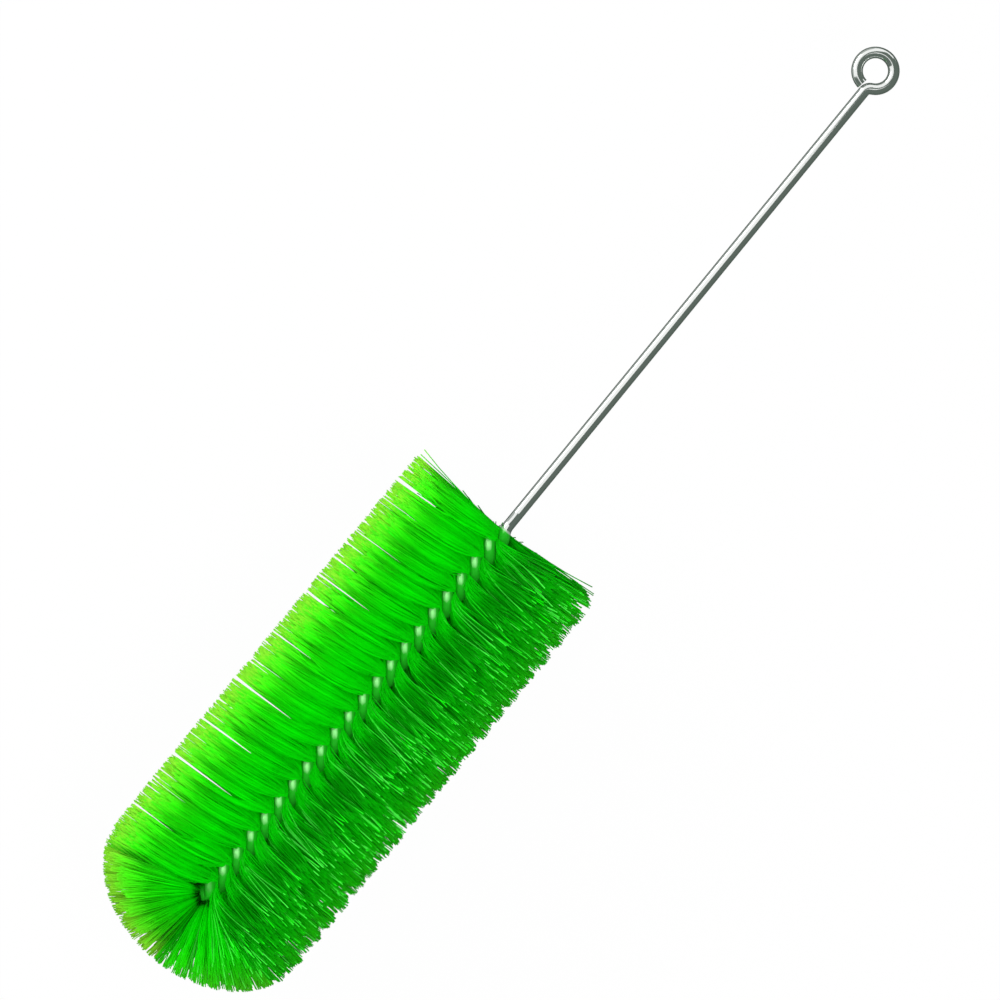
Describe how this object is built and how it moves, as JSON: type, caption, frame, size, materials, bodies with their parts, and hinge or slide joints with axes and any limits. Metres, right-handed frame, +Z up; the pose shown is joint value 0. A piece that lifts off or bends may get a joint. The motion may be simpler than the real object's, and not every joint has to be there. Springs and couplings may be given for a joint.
{
  "type": "bottle brush",
  "caption": "Twisted-in-wire bottle brush: green plastic bristles trapped between two twisted strands of one steel wire, with a rounded head and a round hanging eye",
  "frame": {"origin": "on the surface that the brush lies on, under the middle of its length and width", "axes": "+X along the brush from its head towards the hanging eye, +Y to the side that the eye is offset to, +Z up"},
  "size_m": [0.3999, 0.0799, 0.0725],
  "materials": {
    "wire": "polished bright steel wire",
    "bristles": "satin translucent filament"
  },
  "bodies": {
    "root": {"wire": "wire", "bristles_01": "bristles", "bristles_02": "bristles", "bristles_03": "bristles", "bristles_04": "bristles", "bristles_05": "bristles", "bristles_06": "bristles", "bristles_07": "bristles", "bristles_08": "bristles", "bristles_09": "bristles", "bristles_10": "bristles", "bristles_11": "bristles", "bristles_12": "bristles", "bristles_13": "bristles", "bristles_14": "bristles", "bristles_15": "bristles", "bristles_16": "bristles", "bristles_17": "bristles", "bristles_18": "bristles", "bristles_19": "bristles", "bristles_20": "bristles", "bristles_21": "bristles", "tip_tuft": "bristles"}
  },
  "joints": []
}
